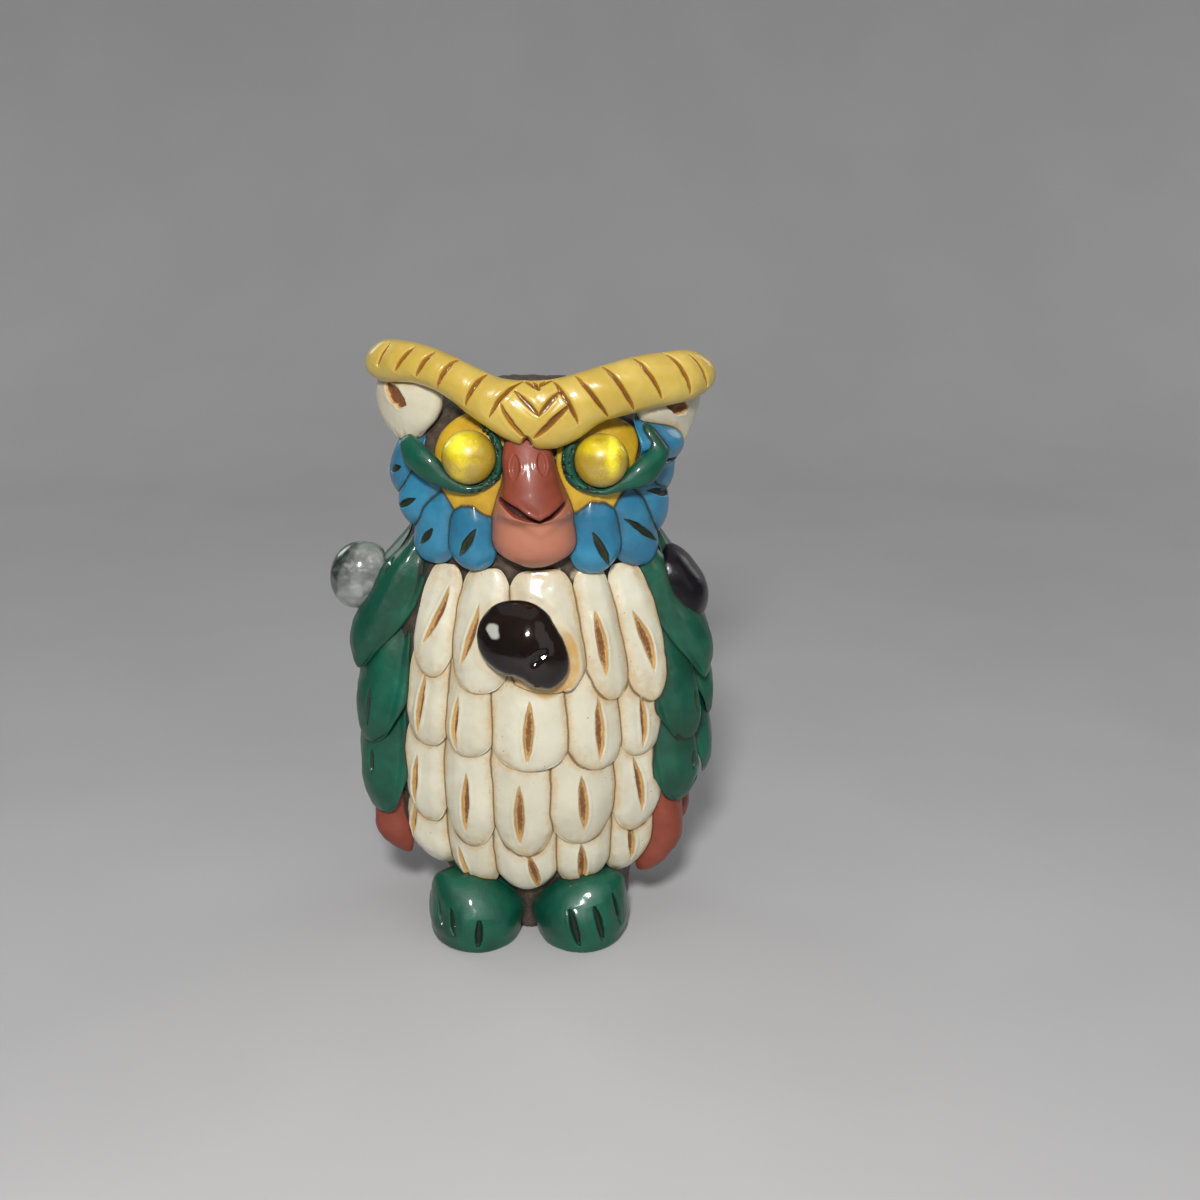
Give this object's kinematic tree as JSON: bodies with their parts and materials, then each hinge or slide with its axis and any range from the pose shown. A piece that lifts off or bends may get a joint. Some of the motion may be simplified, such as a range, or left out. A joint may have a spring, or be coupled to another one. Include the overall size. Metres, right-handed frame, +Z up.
{
  "type": "owl figurine",
  "caption": "Small standing owl figurine of dark clay with pressed-on clay feathers, a rolled brow, glass bead eyes and set tumbled stones.",
  "frame": {"origin": "middle of the core's flat base, where the axis of the body meets the surface it stands on", "axes": "+Z up along the body, the owl faces -Y, +X towards the side with the black stone"},
  "size_m": [0.0615, 0.0452, 0.0964],
  "materials": {
    "core": "rough dark brown fired clay, unglazed",
    "brow": "pale mustard clay under a clear glossy varnish, ochre stain in the cuts",
    "cream": "cream clay under a clear glossy varnish, amber stain at the edges, brown in the cuts",
    "ochre": "mustard clay, satin",
    "green": "green clay under a clear glossy varnish, dark grime in the cuts",
    "blue": "blue clay under a clear glossy varnish, olive grime in the cuts",
    "terracotta": "reddish brown clay, satin varnish",
    "glass_bead": "yellow glass cabochon with a shimmering foil back",
    "brown_stone": "polished dark brown tumbled pebble with a pale speck",
    "black_stone": "polished black tumbled pebble",
    "quartz": "clear tumbled quartz, frosty inside"
  },
  "bodies": {
    "root": {"core": "core", "brow": "brow", "beak": "terracotta", "chest_stone": "brown_stone", "ear_left": "cream", "ear_right": "cream", "eye_patch_left": "ochre", "eye_patch_right": "ochre", "eye_rim_left": "green", "eye_rim_right": "green", "eye_bead_left": "glass_bead", "eye_bead_right": "glass_bead", "shoulder_stone_left": "quartz", "shoulder_stone_right": "black_stone", "foot_left": "green", "foot_right": "green", "wing_back_left": "green", "wing_back_right": "green", "wing_tips_left": "terracotta", "wing_tips_right": "terracotta", "cheek_feather_left_1": "blue", "cheek_feather_left_2": "blue", "cheek_feather_left_3": "blue", "cheek_feather_left_4": "blue", "cheek_feather_right_1": "blue", "cheek_feather_right_2": "blue", "cheek_feather_right_3": "blue", "cheek_feather_right_4": "blue", "wing_front_left_1": "green", "wing_front_left_2": "green", "wing_front_left_3": "green", "wing_side_left_1": "green", "wing_side_left_2": "green", "wing_side_left_3": "green", "wing_front_right_1": "green", "wing_front_right_2": "green", "wing_front_right_3": "green", "wing_side_right_1": "green", "wing_side_right_2": "green", "wing_side_right_3": "green", "belly_feather_1_1": "cream", "belly_feather_1_2": "cream", "belly_feather_1_3": "cream", "belly_feather_1_4": "cream", "belly_feather_1_5": "cream", "belly_feather_2_1": "cream", "belly_feather_2_2": "cream", "belly_feather_2_3": "cream", "belly_feather_2_4": "cream", "belly_feather_2_5": "cream", "belly_feather_3_1": "cream", "belly_feather_3_2": "cream", "belly_feather_3_3": "cream", "belly_feather_3_4": "cream", "belly_feather_3_5": "cream", "belly_feather_4_1": "cream", "belly_feather_4_2": "cream", "belly_feather_4_3": "cream", "belly_feather_4_4": "cream", "belly_feather_4_5": "cream"}
  },
  "joints": []
}
